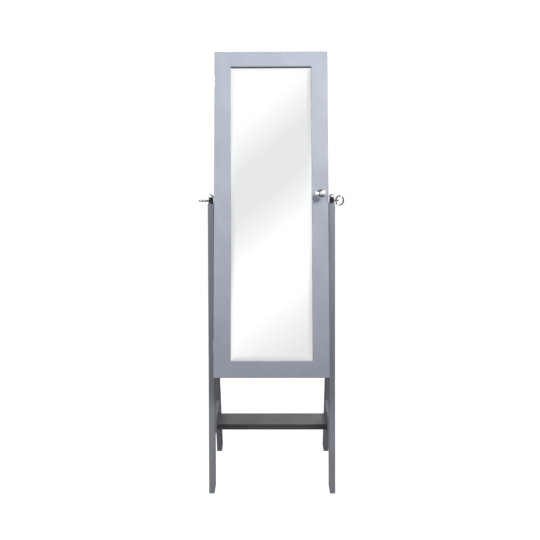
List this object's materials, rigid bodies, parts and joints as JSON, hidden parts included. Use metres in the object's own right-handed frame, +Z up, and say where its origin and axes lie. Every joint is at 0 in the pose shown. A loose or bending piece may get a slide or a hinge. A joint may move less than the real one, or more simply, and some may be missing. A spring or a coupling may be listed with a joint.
{
  "type": "jewelry armoire",
  "caption": "Free-standing shallow jewelry cabinet with a full-length mirrored door, tilting between two A-shaped side frames joined by a low shelf.",
  "frame": {"origin": "on the floor, under the middle of the whole object's box", "axes": "+Z up, the mirrored door faces -Y, +X is to the right of someone facing the door"},
  "size_m": [0.482, 0.3845, 1.4394],
  "materials": {
    "stand_paint": "satin grey paint on wood",
    "cabinet_paint": "satin grey paint on fibreboard",
    "door_paint": "satin grey paint on fibreboard",
    "dowel_wood": "raw beech",
    "chrome": "polished",
    "steel": "zinc plated",
    "nylon": "moulded nylon",
    "velvet": "flocked velvet",
    "lined_board": "fibreboard faced with velvet",
    "magnet": "dark grey",
    "mirror": "silvered glass",
    "bumper": "soft translucent pads"
  },
  "bodies": {
    "stand": {"left_front_leg": "stand_paint", "right_front_leg": "stand_paint", "left_rear_leg": "stand_paint", "right_rear_leg": "stand_paint", "left_side_rail": "stand_paint", "right_side_rail": "stand_paint", "frame_dowels": "dowel_wood", "stand_shelf": "stand_paint", "stand_shelf_screws": "steel", "left_pivot_post": "chrome", "right_pivot_post": "chrome"},
    "cabinet": {"left_pivot_spacer": "nylon", "right_pivot_spacer": "nylon", "left_tee_nut": "steel", "right_tee_nut": "steel", "left_side_panel": "cabinet_paint", "right_side_panel": "cabinet_paint", "top_panel": "cabinet_paint", "bottom_panel": "cabinet_paint", "back_panel": "cabinet_paint", "back_lining": "velvet", "carcass_screws": "steel", "lower_shelf": "cabinet_paint", "middle_shelf": "cabinet_paint", "ring_shelf": "cabinet_paint", "bottom_lip": "cabinet_paint", "lower_lip": "cabinet_paint", "middle_lip": "cabinet_paint", "ring_board": "velvet", "ring_rolls": "velvet", "earring_bars": "velvet", "bracelet_bar": "velvet", "bracelet_cups": "cabinet_paint", "necklace_rail": "cabinet_paint", "necklace_pegs": "chrome", "catch_body": "nylon", "catch_magnet": "magnet", "upper_cabinet_leaf": "steel", "upper_hinge_pin": "steel", "lower_cabinet_leaf": "steel", "lower_hinge_pin": "steel", "hinge_screws_cabinet": "steel"},
    "door": {"hinge_stile": "door_paint", "latch_stile": "door_paint", "door_top_rail": "door_paint", "door_bottom_rail": "door_paint", "mirror_glass": "mirror", "door_backing": "lined_board", "backing_screws": "steel", "knob": "chrome", "knob_screw": "steel", "strike_plate": "steel", "door_bumpers": "bumper", "upper_door_leaf": "steel", "lower_door_leaf": "steel", "hinge_screws_door": "steel"},
    "left_thumbscrew": {"left_thumbscrew": "chrome"},
    "right_thumbscrew": {"right_thumbscrew": "chrome"}
  },
  "joints": [
    {"name": "cabinet_tilt", "type": "hinge", "parent": "stand", "child": "cabinet", "pos_m": [0, 0.01243, 0.958], "axis": [-1, 0, 0], "range_deg": [-6, 8]},
    {"name": "door_swing", "type": "hinge", "parent": "cabinet", "child": "door", "pos_m": [-0.1855, -0.02919, 0.96877], "axis": [0, -0.2504, -0.9681], "range_deg": [0, 110]},
    {"name": "left_thumbscrew_turn", "type": "hinge", "parent": "stand", "child": "left_thumbscrew", "pos_m": [-0.215, 0.01243, 0.958], "axis": [-1, 0, 0], "range_deg": [0, 360]},
    {"name": "right_thumbscrew_turn", "type": "hinge", "parent": "stand", "child": "right_thumbscrew", "pos_m": [0.215, 0.01243, 0.958], "axis": [1, 0, 0], "range_deg": [0, 360]}
  ]
}
